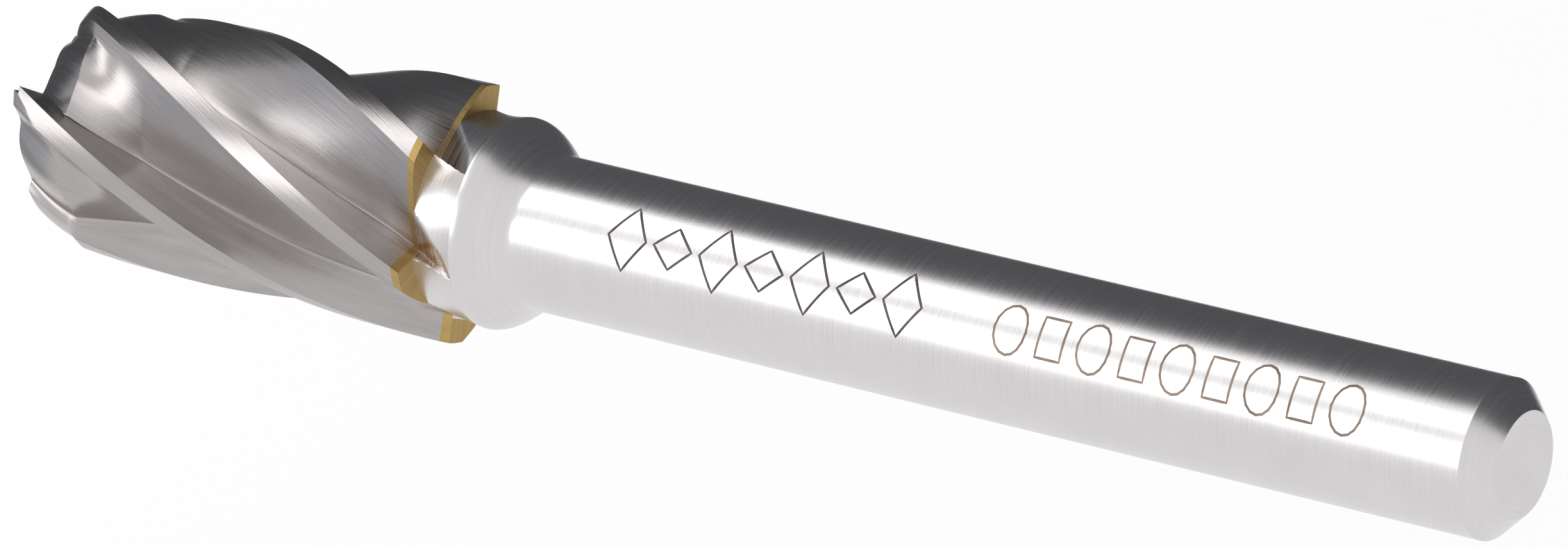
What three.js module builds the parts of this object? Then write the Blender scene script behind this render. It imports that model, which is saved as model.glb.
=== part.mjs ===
// Brazed-head carbide burr: a six-flute cutting head on a 6 mm steel shank.
// Millimetres. The tool's axis is X, with the origin at the centre of the
// shank's flat end face. The head points to -X, and the cut is right-hand.

import * as THREE from 'three';

// Driving dimensions
const OVERALL_LENGTH = 65;
const SHANK_RADIUS = 3;
const HEAD_RADIUS = 5;
const HEAD_REAR_X = -46.6;      // rear plane of the carbide, where the braze begins
const BRAZE_THICKNESS = 0.35;

// Shank end and neck
const END_CHAMFER = 1.0;
const NECK_RADIUS = 4.1;        // steel right behind the braze
const NECK_DIP = 0.12;          // shallow waist between the braze and the collar
const COLLAR_X = -44.5;         // middle of the rounded collar
const COLLAR_END_X = -42.35;    // where the concave fillet meets the plain shank

// Flutes: angles are degrees behind a cutting edge, measured in the cutting section
const TEETH = 6;
const HELIX_LEAD = 65;          // axial length of one full turn
const EDGE_ANGLE_AT_HEAD_REAR = 98;
const TOOTH_PITCH = 360 / TEETH;
const MARGIN_ANGLE = 10;        // narrow relieved margin behind each edge
const MARGIN_DROP = 0.03;
const ROOT_ANGLE = 56.5;        // deepest point of the flute
const ROOT_RADIUS = 3.3;
const HEEL_FALL = 1.7;          // how early the back of the land falls to the root
const RAKE_POWER = 1.6;         // rounds the foot of the rake face into the root

// Flute run-out behind the head
const RUNOUT_START_X = -48.6;   // the wheel starts to lift out of the flute
const RUNOUT_END_X = -44.5;     // the root reaches the neck's surface
const RUNOUT_POWER = 2;         // the wheel lifts slowly, then fast

// Rounded nose
const NOSE_START_X = -59.6;     // the flute floor starts to rise towards the nose
const NOSE_RISE = 1.4;
const CREST_RADIUS = 4.7;
const CREST_ROOT_RADIUS = 4.25;
const CREST_FALL_ANGLE = 25;    // the crest is lower from here to the root
const NOSE_ARC = 7;             // radius of the nose's rounding
const CORNER_ARC = 1.6;         // a round tooth's corner
const CORNER_FADE = 25;         // degrees over which that corner falls to the nose
const SPIKE_SHARPNESS = 24;     // how fast a long tooth's corner ends past its tip
const SPIKE_ANGLE = 3.4;
const SHORT_CORNER = 0.6;       // over this length a short tooth sinks into the nose

// The teeth come in three kinds in turn, by how far their corners reach: round,
// long and short. A crest is where the flute gives way to the nose, as pairs of
// degrees behind the edge and station. The nose's rounding starts at this steepness.
const ROUND = {
  noseSlope: 72,
  crest: [[0, -63.6], [18, -62.95], [36, -62.6], [56.5, -62.85], [60, -64.75]],
};
const LONG = {
  noseSlope: 84,
  crest: [[0, -64.75], [3.4, -64.7], [6, -64.2], [9.4, -63.85], [12, -63.4], [18, -62.7],
    [56.5, -62.7], [60, -62.5]],
};
const SHORT = {
  noseSlope: 84,
  crest: [[0, -62.5], [30, -62.7], [56.5, -63.3], [60, -63.6]],
};
const KINDS = [ROUND, LONG, SHORT];

// Facets
const MARGIN_STEPS = 3;
const HEEL_STEPS = 7;
const RAKE_STEPS = 3;
const NOSE_RINGS = 7;
const FLUTE_RINGS = 18;
const RISE_RING = 0.4;          // one more ring between the crest and the constant section
const NECK_RINGS = 6;
const SHOULDER_RINGS = 6;

const smooth = (u) => u * u * (3 - 2 * u);
const clamp = (u) => Math.min(Math.max(u, 0), 1);
const blend = (a, b, u) => a + (b - a) * u;
const kindOf = (tooth) => KINDS[tooth % KINDS.length];

// The angles within one tooth at which every ring has a vertex
function toothAngles() {
  const angles = [];
  for (let i = 0; i < MARGIN_STEPS; i++) angles.push(MARGIN_ANGLE * i / MARGIN_STEPS);
  for (let i = 0; i < HEEL_STEPS; i++) {
    angles.push(blend(MARGIN_ANGLE, ROOT_ANGLE, i / HEEL_STEPS));
  }
  for (let i = 0; i < RAKE_STEPS; i++) {
    angles.push(blend(ROOT_ANGLE, TOOTH_PITCH, i / RAKE_STEPS));
  }
  return angles;
}

// Radius of the ground section of one tooth
function toothRadius(angle) {
  const marginEnd = HEAD_RADIUS - MARGIN_DROP;
  if (angle <= MARGIN_ANGLE) return blend(HEAD_RADIUS, marginEnd, angle / MARGIN_ANGLE);
  if (angle <= ROOT_ANGLE) {
    const u = (angle - MARGIN_ANGLE) / (ROOT_ANGLE - MARGIN_ANGLE);
    return ROOT_RADIUS + (marginEnd - ROOT_RADIUS) * (1 - u) ** HEEL_FALL;
  }
  const u = (angle - ROOT_ANGLE) / (TOOTH_PITCH - ROOT_ANGLE);
  return blend(ROOT_RADIUS, HEAD_RADIUS, u ** RAKE_POWER);
}

// The wheel lifts out of the flute into the neck, so the floor rises and the edge doesn't
function runOut(x, section) {
  const along = Math.max((x - RUNOUT_START_X) / (RUNOUT_END_X - RUNOUT_START_X), 0);
  const lift = (NECK_RADIUS - ROOT_RADIUS) * along ** RUNOUT_POWER;
  return section + lift * (HEAD_RADIUS - section) / (HEAD_RADIUS - ROOT_RADIUS);
}

// Station of the crest at an angle behind a tooth's edge
function crestX(angle, tooth) {
  const table = kindOf(tooth).crest;
  const next = Math.max(table.findIndex((entry) => entry[0] >= angle), 1);
  const [from, start] = table[next - 1];
  const [to, end] = table[next];
  return blend(start, end, (angle - from) / (to - from));
}

// How far a rounding has fallen, this far ahead of where it starts
function arcFall(arc, slope, ahead) {
  const behind = arc * Math.cos(THREE.MathUtils.degToRad(slope));
  const reach = Math.min(behind + ahead, arc);
  return Math.sqrt(arc ** 2 - behind ** 2) - Math.sqrt(arc ** 2 - reach ** 2);
}

// How far the rounded nose lies below the ground section
function noseFall(x, angle, tooth) {
  const kind = kindOf(tooth);
  const ahead = Math.max(crestX(angle, tooth) - x, 0);
  const nose = arcFall(NOSE_ARC, kind.noseSlope, ahead);
  if (kind === LONG) {
    return blend(SPIKE_SHARPNESS * ahead ** 2, nose, smooth(clamp(angle / SPIKE_ANGLE)));
  }
  if (kind === ROUND) {
    return blend(arcFall(CORNER_ARC, 90, ahead), nose, smooth(clamp(angle / CORNER_FADE)));
  }
  const proud = Math.max(toothRadius(angle) - CREST_RADIUS, 0);
  return nose + proud * smooth(clamp(ahead / SHORT_CORNER));
}

// The section where its floor rises to the crest, and the nose ahead of it
function nosedRadius(x, angle, tooth) {
  const section = toothRadius(angle);
  const along = (NOSE_START_X - x) / (NOSE_START_X - crestX(angle, tooth));
  const rise = Math.min(along, 1) ** NOSE_RISE;
  const lower = smooth(clamp((angle - CREST_FALL_ANGLE) / (ROOT_ANGLE - CREST_FALL_ANGLE)));
  const top = blend(CREST_RADIUS, CREST_ROOT_RADIUS, lower);
  return blend(section, Math.max(section, top), rise) - noseFall(x, angle, tooth);
}

// Flute surface at a station: the section, lifted at its rear end and rounded at its front
function fluteRadius(x, angle, tooth) {
  if (x > NOSE_START_X) return Math.min(runOut(x, toothRadius(angle)), HEAD_RADIUS);
  if (angle <= ROOT_ANGLE) return nosedRadius(x, angle, tooth);
  const u = (angle - ROOT_ANGLE) / (TOOTH_PITCH - ROOT_ANGLE);
  const edge = nosedRadius(x, 0, tooth + 1);
  return blend(nosedRadius(x, ROOT_ANGLE, tooth), edge, u ** RAKE_POWER);
}

// Outline of the turned blank behind the head
function neckRadius(x) {
  if (x <= COLLAR_X) {
    const u = (x - HEAD_REAR_X) / (COLLAR_X - HEAD_REAR_X);
    return NECK_RADIUS - NECK_DIP * Math.sin(Math.PI * clamp(u));
  }
  const u = clamp((x - COLLAR_X) / (COLLAR_END_X - COLLAR_X));
  return blend(NECK_RADIUS, SHANK_RADIUS, smooth(u));
}

// A closed solid from rings of vertices that follow the helix. A ring's station is
// a number, or a function of the angle behind a tooth. radiusAt gives the radius
// there. The rings stop turning where the flutes end.
function fluted(stations, radiusAt) {
  const angles = toothAngles();
  const count = angles.length * TEETH;
  const positions = [];
  for (const station of stations) {
    for (let tooth = 0; tooth < TEETH; tooth++) {
      for (const angle of angles) {
        const x = typeof station === 'function' ? station(angle, tooth) : station;
        const along = Math.min(x, RUNOUT_END_X) - HEAD_REAR_X;
        const turn = EDGE_ANGLE_AT_HEAD_REAR + along * 360 / HELIX_LEAD;
        const around = THREE.MathUtils.degToRad(turn + tooth * TOOTH_PITCH + angle);
        const r = radiusAt(x, angle, tooth);
        positions.push(x, -r * Math.sin(around), r * Math.cos(around));
      }
    }
  }
  const front = positions.length / 3;
  const rear = front + 1;
  positions.push(positions[0], 0, 0);
  positions.push(stations[stations.length - 1], 0, 0);

  const indices = [];
  const lastRing = (stations.length - 1) * count;
  for (let j = 0; j < count; j++) {
    const next = (j + 1) % count;
    indices.push(front, next, j);
    indices.push(rear, lastRing + j, lastRing + next);
    for (let i = 0; i < stations.length - 1; i++) {
      const a = i * count;
      const b = a + count;
      indices.push(a + j, b + next, b + j);
      indices.push(a + j, a + next, b + next);
    }
  }
  const geometry = new THREE.BufferGeometry();
  geometry.setAttribute('position', new THREE.Float32BufferAttribute(positions, 3));
  geometry.setIndex(indices);
  return geometry;
}

function spaced(from, to, steps) {
  return Array.from({ length: steps + 1 }, (_, i) => blend(from, to, i / steps));
}

// Solid tungsten carbide head
function makeCuttingHead() {
  const nose = spaced(0, 1, NOSE_RINGS).map((u) => (angle, tooth) => {
    return blend(-OVERALL_LENGTH, crestX(angle, tooth), u);
  });
  const rise = (angle, tooth) => blend(crestX(angle, tooth), NOSE_START_X, RISE_RING);
  const stations = [...nose, rise, ...spaced(NOSE_START_X, HEAD_REAR_X, FLUTE_RINGS)];
  const carbide = new THREE.MeshStandardMaterial({ color: 0x9a9899, roughness: 0.3, metalness: 1 });
  return namedMesh('cutting_head', fluted(stations, fluteRadius), carbide);
}

// Braze layer: the same section as the head, bare on its annular rear face
function makeBrazeJoint() {
  const stations = [HEAD_REAR_X, HEAD_REAR_X + BRAZE_THICKNESS];
  const braze = new THREE.MeshStandardMaterial({ color: 0xc8a45a, roughness: 0.4, metalness: 1 });
  return namedMesh('braze_joint', fluted(stations, fluteRadius), braze);
}

// Steel shank with its neck and collar, cut by the flutes' run-out
function makeShank() {
  const neckStart = HEAD_REAR_X + BRAZE_THICKNESS;
  const neck = spaced(neckStart, COLLAR_X, NECK_RINGS);
  const shoulder = spaced(COLLAR_X, COLLAR_END_X, SHOULDER_RINGS).slice(1);
  const stations = [...neck, ...shoulder, -END_CHAMFER, 0];
  const radiusAt = (x, angle, tooth) => {
    if (x === 0) return SHANK_RADIUS - END_CHAMFER;
    return Math.min(neckRadius(x), fluteRadius(x, angle, tooth));
  };
  const steel = new THREE.MeshStandardMaterial({ color: 0xc4c0c0, roughness: 0.35, metalness: 1 });
  return namedMesh('shank', fluted(stations, radiusAt), steel);
}

function namedMesh(name, geometry, material) {
  const mesh = new THREE.Mesh(geometry, material);
  mesh.name = name;
  return mesh;
}

const burr = new THREE.Group();
burr.add(makeCuttingHead(), makeBrazeJoint(), makeShank());

export default burr;
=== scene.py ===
"""A brazed carbide burr: a six-flute carbide head brazed on a 6 mm steel shank.

Metres, +Z up. The tool lies along X: the shank's end face is at the origin and
the head points to -X. Angles round the tool are counted from +Z towards -Y.
"""

import math

import bpy
from mathutils import Euler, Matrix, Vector


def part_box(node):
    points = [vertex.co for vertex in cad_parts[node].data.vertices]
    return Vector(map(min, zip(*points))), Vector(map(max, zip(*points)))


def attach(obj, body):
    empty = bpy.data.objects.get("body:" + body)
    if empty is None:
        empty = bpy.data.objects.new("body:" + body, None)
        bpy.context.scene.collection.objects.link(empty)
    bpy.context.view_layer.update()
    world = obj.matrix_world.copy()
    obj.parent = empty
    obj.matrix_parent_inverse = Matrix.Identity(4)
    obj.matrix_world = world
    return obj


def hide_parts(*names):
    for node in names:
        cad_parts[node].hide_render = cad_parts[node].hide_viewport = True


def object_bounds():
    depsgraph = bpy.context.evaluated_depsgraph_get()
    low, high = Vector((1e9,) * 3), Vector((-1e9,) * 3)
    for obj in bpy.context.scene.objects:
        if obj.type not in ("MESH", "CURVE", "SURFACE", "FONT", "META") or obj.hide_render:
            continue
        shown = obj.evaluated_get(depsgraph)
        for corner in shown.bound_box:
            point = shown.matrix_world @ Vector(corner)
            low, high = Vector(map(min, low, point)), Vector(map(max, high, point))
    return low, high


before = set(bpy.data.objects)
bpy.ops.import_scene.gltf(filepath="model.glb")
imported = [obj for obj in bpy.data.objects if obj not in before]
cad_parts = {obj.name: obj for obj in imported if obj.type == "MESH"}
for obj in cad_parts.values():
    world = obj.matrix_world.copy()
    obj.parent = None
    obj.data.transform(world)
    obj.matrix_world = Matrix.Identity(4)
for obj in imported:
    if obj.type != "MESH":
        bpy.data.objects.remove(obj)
cad_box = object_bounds()
MM = 0.001

# ---------------------------------------------------------------------------
# Camera: a long lens on the right of the tool, a little above it, so that the
# shank's end face and the near side of the flutes both show.
CAMERA_AZIMUTH = 34.494
CAMERA_ELEVATION = 20.270
CAMERA_DISTANCE = 387.28 * MM
AIM_LEFT = 26.39 * MM       # the shank's end face lies this far right of the view's middle
AIM_UP = 6.83 * MM          # and this far below it
SENSOR_WIDTH = 36.0
LENS = 249.46
NEAREST = 0.01

camera_turn = Euler((math.radians(90 - CAMERA_ELEVATION), 0, math.radians(CAMERA_AZIMUTH)))
camera_data = bpy.data.cameras.new("camera")
camera_data.sensor_width = SENSOR_WIDTH
camera_data.lens = LENS
camera_data.clip_start = NEAREST
camera = bpy.data.objects.new("camera", camera_data)
bpy.context.scene.collection.objects.link(camera)
camera.rotation_euler = camera_turn
camera.location = camera_turn.to_matrix() @ Vector((-AIM_LEFT, AIM_UP, CAMERA_DISTANCE))
bpy.context.scene.camera = camera

# ---------------------------------------------------------------------------
# Studio: a wide matt white floor in a pale room, and soft lights that the ground
# metal mirrors as long bands. Flags round the tool give its dark bands.
FLOOR_BELOW = 30 * MM
FLOOR_SIZE = 6.0
FLOOR_WHITE = 0.97
FLOOR_ROUGHNESS = 0.9
ROOM_STRENGTH = 0.92
STUDIO_RADIUS = 1.2
SOFTBOX_REACH = 0.8         # softboxes stand nearer than the flags, by this share
SOFTBOX_LEAN = -0.56        # they lean towards the head
FLAG_STEPS = 24
FLAG_TINT = (1.0, 1.04, 1.12)


def linked(name, mesh, material=None):
    """A new object at the origin that shows this mesh."""
    made = bpy.data.objects.new(name, mesh)
    bpy.context.scene.collection.objects.link(made)
    if material:
        mesh.materials.append(material)
    return made


def around(angle, along):
    """Unit direction at an angle round the tool, leaning along X."""
    across = math.sqrt(1 - along * along)
    turn = math.radians(angle)
    return Vector((along, -across * math.sin(turn), across * math.cos(turn)))


def blend(a, b, u):
    return a + (b - a) * u


def spaced(start, end, steps):
    return [blend(start, end, i / steps) for i in range(steps + 1)]


def grid_faces(rows, columns):
    """Quads between rows of points that are listed one row after another."""
    faces = []
    for i in range(rows - 1):
        for a in range(i * columns, (i + 1) * columns - 1):
            b = a + columns
            faces.append((a, a + 1, b + 1, b))
    return faces


def principled(name):
    """A new material and its shader."""
    material = bpy.data.materials.new(name)
    material.use_nodes = True
    return material, material.node_tree.nodes["Principled BSDF"]


def make_floor():
    low = cad_box[0].z - FLOOR_BELOW
    half = FLOOR_SIZE / 2
    mesh = bpy.data.meshes.new("floor")
    corners = [(-half, -half, low), (half, -half, low), (half, half, low), (-half, half, low)]
    mesh.from_pydata(corners, [], [(0, 1, 2, 3)])
    material, shader = principled("matt_white_floor")
    shader.inputs["Base Color"].default_value = (FLOOR_WHITE, FLOOR_WHITE, FLOOR_WHITE, 1)
    shader.inputs["Roughness"].default_value = FLOOR_ROUGHNESS
    floor = linked("floor", mesh, material)
    floor.visible_glossy = False


def softbox(name, angle, height, width, strength):
    """A rectangular soft light facing the tool's middle from an angle round it."""
    light = bpy.data.lights.new(name, "AREA")
    light.shape = "RECTANGLE"
    light.size = width
    light.size_y = height
    light.energy = strength
    middle = (cad_box[0] + cad_box[1]) / 2
    direction = around(angle, SOFTBOX_LEAN)
    made = linked(name, light)
    made.location = middle + direction * STUDIO_RADIUS * SOFTBOX_REACH
    made.rotation_euler = direction.to_track_quat("Z", "Y").to_euler()


def flag_material(name, tone):
    material, shader = principled(name)
    nodes = material.node_tree.nodes
    nodes.remove(shader)
    glow = nodes.new("ShaderNodeEmission")
    glow.inputs["Color"].default_value = (*[tone * tint for tint in FLAG_TINT], 1)
    glow.inputs["Strength"].default_value = 1
    output = nodes["Material Output"]
    material.node_tree.links.new(glow.outputs["Emission"], output.inputs["Surface"])
    return material


def make_flag(name, start, end, lean_from, lean_to, tone):
    """A patch of a sphere round the tool, from one angle to another, that only
    mirror-like surfaces see."""
    points = []
    for angle in spaced(start, end, FLAG_STEPS):
        for lean in spaced(lean_from, lean_to, FLAG_STEPS):
            points.append(around(angle, math.sin(math.radians(lean))) * STUDIO_RADIUS)
    mesh = bpy.data.meshes.new(name)
    mesh.from_pydata(points, [], grid_faces(FLAG_STEPS + 1, FLAG_STEPS + 1))
    flag = linked(name, mesh, flag_material(name, tone))
    flag.visible_camera = False
    flag.visible_diffuse = False
    flag.visible_shadow = False


world = bpy.data.worlds.new("pale_room")
world.use_nodes = True
world.node_tree.nodes["Background"].inputs["Color"].default_value = (1, 1, 1, 1)
world.node_tree.nodes["Background"].inputs["Strength"].default_value = ROOM_STRENGTH
bpy.context.scene.world = world
bpy.context.scene.view_settings.view_transform = "Standard"

make_floor()
make_flag("dark_flag", -100, 4, -90, 80, 0.095)
make_flag("far_flag", -118, -100, -90, -50, 0.11)
make_flag("low_flag", -200, -118, -90, -54, 0.45)
make_flag("end_flag", 4, 160, -90, -56, 0.6)
softbox("front_softbox", 73, 0.42, 0.8, 1.85)
softbox("top_strip", 21, 0.20, 0.8, 1.0)

# ---------------------------------------------------------------------------
# Cutting head: solid tungsten carbide, ground all over. Six right-hand flutes
# are cut by a wheel, each edge has a narrow relieved margin, and the wheel
# lifts out before the front, where a rounded nose closes the flutes.
TEETH = 6
TOOTH_PITCH = 360 / TEETH
HELIX_LEAD = 65 * MM
HEAD_RADIUS = 5 * MM
HEAD_FRONT = cad_box[0].x
HEAD_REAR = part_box("cutting_head")[1].x
EDGE_ANGLE = 98             # where one cutting edge meets the head's rear plane
FLUTE_END = -44.5 * MM      # the flutes run out here, in the steel neck
MARGIN_ANGLE = 10           # the margin ends this far behind its edge
ROOT_ANGLE = 56.5           # and the flute is deepest here
MARGIN_RADIUS = 4.97 * MM
ROOT_RADIUS = 3.3 * MM
HEEL_FALL = 1.7             # how early the back of the land falls to the root
RAKE_POWER = 1.6            # rounds the foot of the rake face into the root
NECK_RADIUS = 4.1 * MM
RUNOUT_START = -48.6 * MM
RUNOUT_POWER = 2            # the wheel lifts slowly, then fast
NOSE_START = -59.6 * MM     # the flute floor starts to rise towards the nose
NOSE_RISE = 1.4
CREST_RADIUS = 4.7 * MM
CREST_ROOT_RADIUS = 4.25 * MM
CREST_FALL_ANGLE = 25       # the crest is lower from here to the root
CORNER_ARC = 1.6 * MM       # a round tooth's corner
CORNER_FADE = 25            # degrees over which that corner falls to the nose
SPIKE_SHARPNESS = 24 / MM   # how fast a long tooth's corner ends past its tip
SPIKE_ANGLE = 3.4
# The teeth come in three kinds in turn, by how far their corners reach: round, long, short.
ROUND, LONG, SHORT = 0, 1, 2
KINDS = 3
NOSE_ARC = 7.0 * MM
NOSE_SLOPE = (72, 84, 84)   # how steep its rounding starts behind each kind
SQUARE = 90
SHORT_CORNER = 0.6 * MM     # over this length a short tooth sinks into the nose
# The crest where the ground flute gives way to the nose: (degrees behind the edge, station)
CRESTS = (
    ((0, -63.6), (18, -62.95), (36, -62.6), (56.5, -62.85), (60, -64.75)),
    ((0, -64.75), (3.4, -64.7), (6, -64.2), (9.4, -63.85), (12, -63.4), (18, -62.7),
     (56.5, -62.7), (60, -62.5)),
    ((0, -62.5), (30, -62.7), (56.5, -63.3), (60, -63.6)),
)
MARGIN_STEPS, HEEL_STEPS, RAKE_STEPS = 12, 28, 9
NOSE_RINGS, RISE_RINGS, FLUTE_RINGS = 60, 20, 140
WELD_DISTANCE = 0.0005 * MM
SHARP_ANGLE = math.radians(24)


def smooth(u):
    u = min(max(u, 0), 1)
    return u * u * (3 - 2 * u)


def tooth_radius(angle):
    """Ground section of one tooth, from its cutting edge back to the next one."""
    if angle <= MARGIN_ANGLE:
        return blend(HEAD_RADIUS, MARGIN_RADIUS, angle / MARGIN_ANGLE)
    if angle <= ROOT_ANGLE:
        u = (angle - MARGIN_ANGLE) / (ROOT_ANGLE - MARGIN_ANGLE)
        return ROOT_RADIUS + (MARGIN_RADIUS - ROOT_RADIUS) * (1 - u) ** HEEL_FALL
    u = (angle - ROOT_ANGLE) / (TOOTH_PITCH - ROOT_ANGLE)
    return blend(ROOT_RADIUS, HEAD_RADIUS, u ** RAKE_POWER)


def crest(angle, tooth):
    """Station of the crest at an angle behind this tooth's edge."""
    table = CRESTS[tooth % KINDS]
    for (a, start), (b, end) in zip(table, table[1:]):
        if angle <= b:
            return blend(start, end, (angle - a) / (b - a)) * MM
    return table[-1][1] * MM


def arc_fall(arc, slope, ahead):
    """How far a rounding has fallen, this far ahead of where it starts."""
    behind = arc * math.cos(math.radians(slope))
    reach = min(behind + ahead, arc)
    return math.sqrt(arc ** 2 - behind ** 2) - math.sqrt(arc ** 2 - reach ** 2)


def nose_fall(x, angle, tooth):
    """How far the rounded nose lies below the ground section."""
    kind = tooth % KINDS
    ahead = max(crest(angle, tooth) - x, 0)
    nose = arc_fall(NOSE_ARC, NOSE_SLOPE[kind], ahead)
    if kind == LONG:
        return blend(SPIKE_SHARPNESS * ahead ** 2, nose, smooth(angle / SPIKE_ANGLE))
    if kind == ROUND:
        return blend(arc_fall(CORNER_ARC, SQUARE, ahead), nose, smooth(angle / CORNER_FADE))
    sunk = max(tooth_radius(angle) - CREST_RADIUS, 0) * smooth(ahead / SHORT_CORNER)
    return nose + sunk


def nosed_radius(x, angle, tooth):
    """The section where its floor rises to the crest, and the nose ahead of it."""
    section = tooth_radius(angle)
    rise = min((NOSE_START - x) / (NOSE_START - crest(angle, tooth)), 1) ** NOSE_RISE
    lower = smooth((angle - CREST_FALL_ANGLE) / (ROOT_ANGLE - CREST_FALL_ANGLE))
    top = blend(CREST_RADIUS, CREST_ROOT_RADIUS, lower)
    return blend(section, max(section, top), rise) - nose_fall(x, angle, tooth)


def flute_radius(x, angle, tooth):
    """The flute's surface at a station: it rises behind the head and rounds off in front."""
    if x <= NOSE_START and angle <= ROOT_ANGLE:
        return nosed_radius(x, angle, tooth)
    if x <= NOSE_START:
        u = (angle - ROOT_ANGLE) / (TOOTH_PITCH - ROOT_ANGLE)
        edge = nosed_radius(x, 0, tooth + 1)
        return blend(nosed_radius(x, ROOT_ANGLE, tooth), edge, u ** RAKE_POWER)
    section = tooth_radius(angle)
    along = max((x - RUNOUT_START) / (FLUTE_END - RUNOUT_START), 0)
    lift = (NECK_RADIUS - ROOT_RADIUS) * along ** RUNOUT_POWER
    return min(section + lift * (HEAD_RADIUS - section) / (HEAD_RADIUS - ROOT_RADIUS), HEAD_RADIUS)


def tooth_angles():
    """Angles of one tooth's columns, closer together where the section turns."""
    margin = spaced(0, MARGIN_ANGLE, MARGIN_STEPS)[:-1]
    heel = spaced(MARGIN_ANGLE, ROOT_ANGLE, HEEL_STEPS)[:-1]
    return margin + heel + spaced(ROOT_ANGLE, TOOTH_PITCH, RAKE_STEPS)


def half_round(name, outline):
    """Half of a turned and fluted solid, with a tooth of each kind, not yet twisted.
    The outline lists (station or station function, radius function) from the front
    centre to the rear centre. Its UV map holds metres round and along the tool."""
    mesh = bpy.data.meshes.new(name)
    angles = tooth_angles()
    angles += [tooth * TOOTH_PITCH + angle for tooth in range(1, KINDS) for angle in angles[1:]]
    points, along, travelled = [], [], 0
    for i, (station, radius_at) in enumerate(outline):
        for angle in angles:
            tooth = max(math.ceil(angle / TOOTH_PITCH) - 1, 0)
            behind = angle - tooth * TOOTH_PITCH
            x = station(behind, tooth) if callable(station) else station
            r = radius_at(x, behind, tooth)
            turn = math.radians(angle)
            points.append(Vector((x, -r * math.sin(turn), r * math.cos(turn))))
        if i:
            travelled += (points[-1] - points[-1 - len(angles)]).length
        along.append(travelled)
    mesh.from_pydata(points, [], grid_faces(len(outline), len(angles)))
    uv = mesh.uv_layers.new(name="surface")
    for loop in mesh.loops:
        i, j = divmod(loop.vertex_index, len(angles))
        uv.data[loop.index].uv = (math.radians(angles[j]) * HEAD_RADIUS, along[i])
    return linked(name, mesh)


def connect(tree, source, socket):
    """Links another node's output to an input, or sets a constant on it."""
    if isinstance(source, bpy.types.NodeSocket):
        tree.links.new(source, socket)
    else:
        socket.default_value = source


def wire(tree, made, **sources):
    """Connects a node's inputs by name, with _ for a space."""
    for name, source in sources.items():
        connect(tree, source, made.inputs[name.replace("_", " ")])
    return made


def node(tree, kind, *sources, **settings):
    """Adds a node, with its first inputs connected in order."""
    made = tree.nodes.new(kind)
    for key, value in settings.items():
        setattr(made, key, value)
    for socket, source in zip(made.inputs, sources):
        connect(tree, source, socket)
    return made


def maths(tree, operation, *sources):
    return node(tree, "ShaderNodeMath", *sources, operation=operation).outputs[0]


def new_tree(name, inputs):
    """A node group that takes these named inputs and gives a body."""
    tree = bpy.data.node_groups.new(name, "GeometryNodeTree")
    for label, kind in inputs:
        tree.interface.new_socket(label, in_out="INPUT", socket_type="NodeSocket" + kind)
    tree.interface.new_socket("Body", in_out="OUTPUT", socket_type="NodeSocketGeometry")
    return tree, tree.nodes.new("NodeGroupInput").outputs


def turned_about_axis(tree, geometry, place, angle):
    """Moves geometry to these places, turned about X by an angle."""
    turned = node(tree, "ShaderNodeVectorRotate", rotation_type="X_AXIS")
    wire(tree, turned, Vector=place, Angle=angle)
    moved = node(tree, "GeometryNodeSetPosition")
    wire(tree, moved, Geometry=geometry, Position=turned.outputs[0])
    return moved.outputs[0]


def finish_tree(tree, geometry, finish):
    real = node(tree, "GeometryNodeRealizeInstances", geometry)
    finished = node(tree, "GeometryNodeSetMaterial")
    wire(tree, finished, Geometry=real.outputs[0], Material=finish)
    wire(tree, node(tree, "NodeGroupOutput"), Body=finished.outputs[0])
    return tree


def twist_tree():
    """Repeats the half round the axis, twists it to the helix and closes the seams."""
    tree, given = new_tree("repeat_and_twist_teeth", (
        ("Half", "Geometry"), ("Copies", "Int"), ("Lead", "Float"), ("Twist From", "Float"),
        ("Twist To", "Float"), ("Edge Angle", "Float"), ("Finish", "Material")))
    step = maths(tree, "DIVIDE", math.tau, given["Copies"])
    index = node(tree, "GeometryNodeInputIndex")
    turn = maths(tree, "MULTIPLY", index.outputs[0], step)
    turn_x = node(tree, "ShaderNodeCombineXYZ", turn)
    places = node(tree, "GeometryNodeMeshLine", given["Copies"])
    places.inputs["Offset"].default_value = (0, 0, 0)
    ring = node(tree, "GeometryNodeInstanceOnPoints")
    wire(tree, ring, Points=places.outputs["Mesh"], Instance=given["Half"],
         Rotation=turn_x.outputs[0])
    whole = node(tree, "GeometryNodeRealizeInstances", ring.outputs[0])

    place = node(tree, "GeometryNodeInputPosition").outputs[0]
    split = node(tree, "ShaderNodeSeparateXYZ", place)
    reach = maths(tree, "MINIMUM", split.outputs["X"], given["Twist To"])
    run = maths(tree, "SUBTRACT", reach, given["Twist From"])
    turns = maths(tree, "DIVIDE", run, given["Lead"])
    angle = maths(tree, "MULTIPLY_ADD", turns, math.tau, given["Edge Angle"])
    body = turned_about_axis(tree, whole.outputs[0], place, angle)
    closed = node(tree, "GeometryNodeMergeByDistance")
    wire(tree, closed, Geometry=body, Distance=WELD_DISTANCE)
    return finish_tree(tree, closed.outputs[0], given["Finish"])


TWIST = twist_tree()


def plain_mesh(worker, tree, name, **values):
    """What a node tree makes of an object, kept as a plain mesh."""
    modifier = worker.modifiers.new("build", "NODES")
    modifier.node_group = tree
    sockets = {item.name: item.identifier for item in tree.interface.items_tree
               if item.in_out == "INPUT"}
    for key, value in values.items():
        modifier[sockets[key.replace("_", " ")]] = value
    bpy.context.view_layer.update()
    graph = bpy.context.evaluated_depsgraph_get()
    mesh = bpy.data.meshes.new_from_object(worker.evaluated_get(graph), depsgraph=graph)
    mesh.name = name
    worker.modifiers.clear()
    bpy.data.objects.remove(worker)
    mesh.shade_smooth()
    mesh.set_sharp_from_angle(angle=SHARP_ANGLE)
    return linked(name, mesh)


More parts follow.
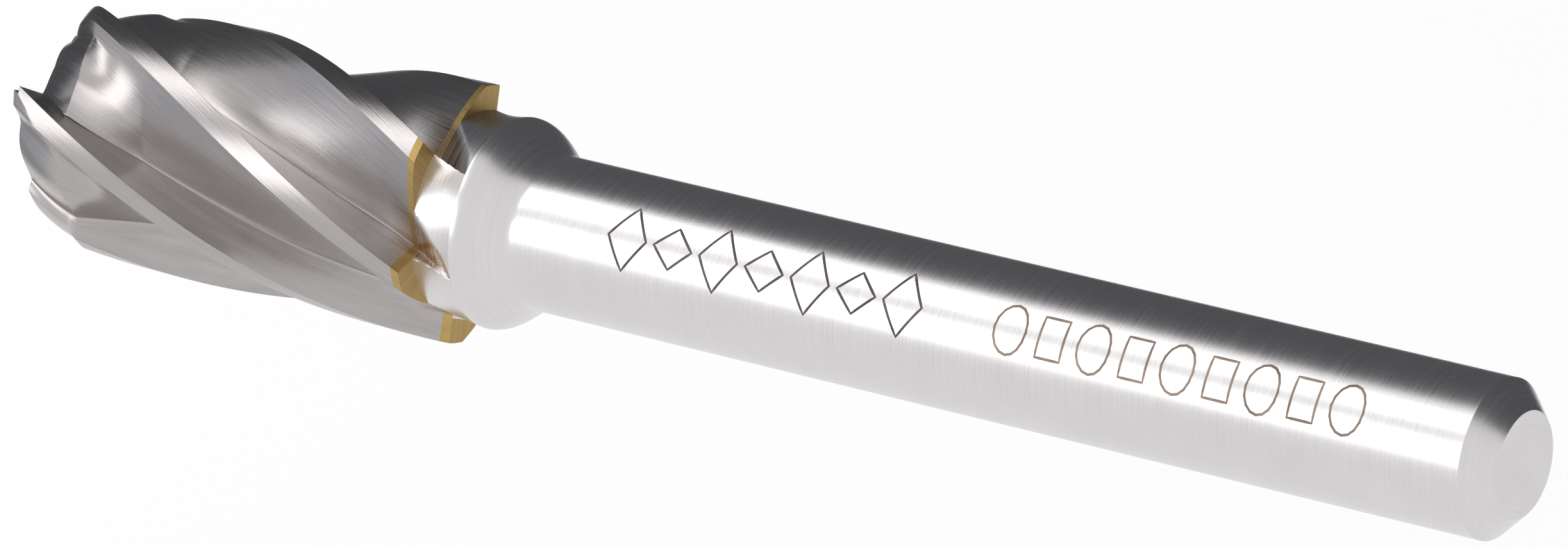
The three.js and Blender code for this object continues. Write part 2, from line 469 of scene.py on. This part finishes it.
def fluted_piece(name, outline, finish):
    return plain_mesh(half_round(name, outline), TWIST, name, Copies=TEETH // KINDS,
                      Lead=HELIX_LEAD, Twist_From=HEAD_REAR, Twist_To=FLUTE_END,
                      Edge_Angle=math.radians(EDGE_ANGLE), Finish=finish)


def centre(x, angle, tooth):
    return 0.0


SMEAR_FADES_IN = (-47.7 * MM, -46.5 * MM)
SMEAR_FADES_OUT = (-44.5 * MM, -45.3 * MM)
SMEAR_RADII = (3.97 * MM, 3.85 * MM)    # none on the turned neck, full on the flutes' floors
SMEAR_MARKS = (0.75, 0.45)              # scratched through where the grinding marks are high
SMEAR_COLOUR = (0.26, 0.17, 0.09, 1)
MARK_DETAIL = 5
MARK_ROUGHNESS = 0.65
MARK_SPREAD = (0.3, 0.7)
MARK_DEPTH = 0.01 * MM
CLOUDS_PER_METRE = 420
CLOUD_DETAIL = 2
CLOUD_TONE = 0.9


def ranged(tree, source, low, high, to_low=0, to_high=1):
    """A ramp between two values of a source, level outside; low may exceed high."""
    made = node(tree, "ShaderNodeMapRange", source)
    wire(tree, made, From_Min=low, From_Max=high, To_Min=to_low, To_Max=to_high)
    return made.outputs[0]


def mixed(tree, factor, first, second, blend_type="MIX"):
    made = node(tree, "ShaderNodeMix", data_type="RGBA", blend_type=blend_type)
    wire(tree, made, Factor=factor, A=first, B=second)
    return made.outputs["Result"]


def braze_smear(tree, place, marks):
    """How much braze and soot is smeared here, on the floors of the flutes' run-out."""
    split = node(tree, "ShaderNodeSeparateXYZ", place)
    lifted = node(tree, "ShaderNodeCombineXYZ", 0.0, split.outputs["Y"], split.outputs["Z"])
    radius = node(tree, "ShaderNodeVectorMath", lifted.outputs[0], operation="LENGTH")
    product = ranged(tree, radius.outputs["Value"], *SMEAR_RADII)
    for source, limits in ((split.outputs["X"], SMEAR_FADES_IN),
                           (split.outputs["X"], SMEAR_FADES_OUT), (marks, SMEAR_MARKS)):
        product = maths(tree, "MULTIPLY", product, ranged(tree, source, *limits))
    return product


def ground_metal(name, colour, roughness, grain, streak, bump):
    """Ground metal: fine streaks along one direction of the surface map, with
    slow changes of tone. grain is (cycles per metre across, along)."""
    material, shader = principled(name)
    tree = material.node_tree
    place = node(tree, "ShaderNodeTexCoord").outputs["Object"]
    surface = node(tree, "ShaderNodeUVMap", uv_map="surface")
    scaled = node(tree, "ShaderNodeMapping", surface.outputs[0])
    scaled.inputs["Scale"].default_value = (*grain, 1)
    marks = node(tree, "ShaderNodeTexNoise", scaled.outputs[0])
    wire(tree, marks, Scale=1, Detail=MARK_DETAIL, Roughness=MARK_ROUGHNESS)
    marks = marks.outputs[0]
    clouds = node(tree, "ShaderNodeTexNoise", place)
    wire(tree, clouds, Scale=CLOUDS_PER_METRE, Detail=CLOUD_DETAIL)
    darker = (*[c * CLOUD_TONE for c in colour], 1)
    base = mixed(tree, clouds.outputs[0], (*colour, 1), darker)
    tone = ranged(tree, marks, *MARK_SPREAD, 1 - streak, 1)
    clean = mixed(tree, 1, base, tone, "MULTIPLY")
    dirty = mixed(tree, braze_smear(tree, place, marks), clean, SMEAR_COLOUR)
    raised = node(tree, "ShaderNodeBump")
    wire(tree, raised, Strength=bump, Distance=MARK_DEPTH, Height=marks)
    wire(tree, shader, Metallic=1, Base_Color=dirty, Normal=raised.outputs[0],
         Roughness=ranged(tree, marks, 0, 1, *roughness))
    return material


def between(start, u):
    """A station part of the way from a plane to the crest."""
    return lambda angle, tooth: blend(start, crest(angle, tooth), u)


def head_outline():
    """Front face from the centre out, the nose, the flutes, then the rear face."""
    front = [(HEAD_FRONT, centre)]
    nose = [(between(HEAD_FRONT, u), flute_radius) for u in spaced(0, 1, NOSE_RINGS)[:-1]]
    rise = [(between(NOSE_START, u), flute_radius) for u in spaced(1, 0, RISE_RINGS)[:-1]]
    flutes = [(x, flute_radius) for x in spaced(NOSE_START, HEAD_REAR, FLUTE_RINGS)]
    return front + nose + rise + flutes + [(HEAD_REAR, centre)]


CARBIDE = ground_metal("ground_carbide", (0.505, 0.478, 0.472), roughness=(0.16, 0.34),
                       grain=(16000, 250), streak=0.18, bump=0.35)
cutting_head = fluted_piece("cutting_head_ground", head_outline(), CARBIDE)
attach(cutting_head, "root")
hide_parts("cutting_head")

# ---------------------------------------------------------------------------
# Braze joint: a thin disc of silver-copper braze that holds the carbide to the
# steel. The wheel cuts it with the flutes, and its rim shows bare behind them.
BRAZE_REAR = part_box("braze_joint")[1].x
BRAZE_RINGS = 8
BRAZE = ground_metal("silver_copper_braze", (0.60, 0.42, 0.17), roughness=(0.38, 0.6),
                     grain=(9000, 400), streak=0.3, bump=0.6)
braze_outline = [(HEAD_REAR, centre)]
braze_outline += [(x, flute_radius) for x in spaced(HEAD_REAR, BRAZE_REAR, BRAZE_RINGS)]
braze_outline += [(BRAZE_REAR, centre)]
braze_joint = fluted_piece("braze_joint_ground", braze_outline, BRAZE)
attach(braze_joint, "root")
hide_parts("braze_joint")

# ---------------------------------------------------------------------------
# Shank: hardened steel turned with a neck and a rounded collar, then ground
# round to 6 mm, chamfered at its end, and cut by the flutes' run-out.
SHANK_RADIUS = 3 * MM
END_CHAMFER = 1.0 * MM
NECK_DIP = 0.12 * MM
COLLAR = -44.5 * MM
COLLAR_END = -42.35 * MM
NECK_RINGS, COLLAR_RINGS, PLAIN_RINGS = 60, 40, 40


def neck_radius(x):
    if x <= COLLAR:
        u = (x - HEAD_REAR) / (COLLAR - HEAD_REAR)
        return NECK_RADIUS - NECK_DIP * math.sin(math.pi * min(max(u, 0), 1))
    return blend(NECK_RADIUS, SHANK_RADIUS, smooth((x - COLLAR) / (COLLAR_END - COLLAR)))


def neck_surface(x, angle, tooth):
    return min(neck_radius(x), flute_radius(x, angle, tooth))


def plain_shank(x, angle, tooth):
    return SHANK_RADIUS


def end_face(x, angle, tooth):
    return SHANK_RADIUS - END_CHAMFER


shank_outline = [(BRAZE_REAR, centre)]
shank_outline += [(x, neck_surface) for x in spaced(BRAZE_REAR, FLUTE_END, NECK_RINGS)]
shank_outline += [(x, neck_surface) for x in spaced(FLUTE_END, COLLAR_END, COLLAR_RINGS)[1:]]
shank_outline += [(x, plain_shank) for x in spaced(COLLAR_END, -END_CHAMFER, PLAIN_RINGS)[1:]]
shank_outline += [(0.0, end_face), (0.0, centre)]
STEEL = ground_metal("ground_steel", (0.775, 0.75, 0.757), roughness=(0.20, 0.34),
                     grain=(60, 14000), streak=0.10, bump=0.25)
shank = fluted_piece("shank_ground", shank_outline, STEEL)
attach(shank, "root")
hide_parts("shank")

# ---------------------------------------------------------------------------
# Laser marks: two rows of plain outlined shapes along the shank, one of diamonds
# and one of rings and squares, burnt brown into the ground steel by a laser.
LINE_RADIUS = 0.07 * MM
LINE_DEPTH = 2.985 * MM     # the lines' centre, just under the shank's surface
LINE_FLATNESS = 0.4
MARK_ANGLE = 57             # middle of the rows round the shank
MAKER_ROW = (-38.4 * MM, -24.0 * MM, 7)
SIZE_ROW = (-21.2 * MM, -5.0 * MM, 9)
LINE_SIDES = 8
STEPS_PER_SIDE = 6          # so that a straight side follows the round shank
BURN_PATCHES = 900
BURN_SPREAD = (0.35, 0.65)
BURN_LIGHTER = 1.7


def mark_material(name, colour):
    material, shader = principled(name)
    tree = material.node_tree
    patchy = node(tree, "ShaderNodeTexNoise", node(tree, "ShaderNodeTexCoord").outputs["Object"])
    patchy.inputs["Scale"].default_value = BURN_PATCHES
    lighter = (*[c * BURN_LIGHTER for c in colour], 1)
    burnt = mixed(tree, ranged(tree, patchy.outputs[0], *BURN_SPREAD), (*colour, 1), lighter)
    wire(tree, shader, Metallic=0.6, Roughness=0.55, Base_Color=burnt)
    return material


def wrap_tree():
    """Gives flat outlines a thin line and wraps them on the shank. The wrap mirrors
    them, so the faces are flipped to face outward again."""
    tree, given = new_tree("wrap_lines_on_shank", (
        ("Outlines", "Geometry"), ("Line", "Float"), ("Radius", "Float"),
        ("Middle", "Float"), ("Flatness", "Float"), ("Finish", "Material")))
    profile = node(tree, "GeometryNodeCurvePrimitiveCircle")
    wire(tree, profile, Resolution=LINE_SIDES, Radius=given["Line"])
    swept = node(tree, "GeometryNodeCurveToMesh")
    wire(tree, swept, Curve=given["Outlines"], Profile_Curve=profile.outputs[0])
    place = node(tree, "GeometryNodeInputPosition")
    flat = node(tree, "ShaderNodeSeparateXYZ", place.outputs[0])
    arc = maths(tree, "DIVIDE", flat.outputs["Y"], given["Radius"])
    angle = maths(tree, "ADD", arc, given["Middle"])
    height = maths(tree, "MULTIPLY_ADD", flat.outputs["Z"], given["Flatness"], given["Radius"])
    upright = node(tree, "ShaderNodeCombineXYZ", flat.outputs["X"], 0.0, height)
    wrapped = turned_about_axis(tree, swept.outputs[0], upright.outputs[0], angle)
    outward = node(tree, "GeometryNodeFlipFaces", wrapped)
    return finish_tree(tree, outward.outputs[0], given["Finish"])


def polygon(corners, wide, high, turn, steps=STEPS_PER_SIDE):
    """A regular polygon stretched to a size, with points along each side."""
    points = []
    for i in range(corners):
        a = math.tau * i / corners + turn
        b = math.tau * (i + 1) / corners + turn
        for u in spaced(0, 1, steps)[:-1]:
            points.append((wide / 2 * blend(math.sin(a), math.sin(b), u),
                           high / 2 * blend(math.cos(a), math.cos(b), u)))
    return points


def shape_row(span, shapes):
    """Outlines spaced evenly along the shank, taken in turn from a list of shapes."""
    start, end, count = span
    outlines = []
    for i in range(count):
        middle = blend(start, end, (i + 0.5) / count)
        outlines.append([(middle + u, v) for u, v in shapes[i % len(shapes)]])
    return outlines


def laser_mark(name, outlines, finish):
    curve = bpy.data.curves.new(name, "CURVE")
    curve.dimensions = "3D"
    for outline in outlines:
        spline = curve.splines.new("POLY")
        spline.points.add(len(outline) - 1)
        spline.use_cyclic_u = True
        for point, (u, v) in zip(spline.points, outline):
            point.co = (u, v, 0, 1)
    made = plain_mesh(linked(name, curve), WRAP, name, Line=LINE_RADIUS, Radius=LINE_DEPTH,
                      Middle=math.radians(MARK_ANGLE), Flatness=LINE_FLATNESS, Finish=finish)
    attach(made, "root")


WRAP = wrap_tree()
diamond = polygon(4, 1.7 * MM, 2.5 * MM, 0)
small_diamond = polygon(4, 1.7 * MM, 1.6 * MM, 0)
ring = polygon(16, 1.35 * MM, 1.9 * MM, 0, 1)
square = polygon(4, 1.5 * MM, 2.2 * MM, math.pi / 4)
laser_mark("maker_mark", shape_row(MAKER_ROW, [diamond, small_diamond]),
           mark_material("dark_laser_mark", (0.07, 0.06, 0.058)))
laser_mark("size_mark", shape_row(SIZE_ROW, [ring, square]),
           mark_material("pale_laser_mark", (0.20, 0.15, 0.12)))
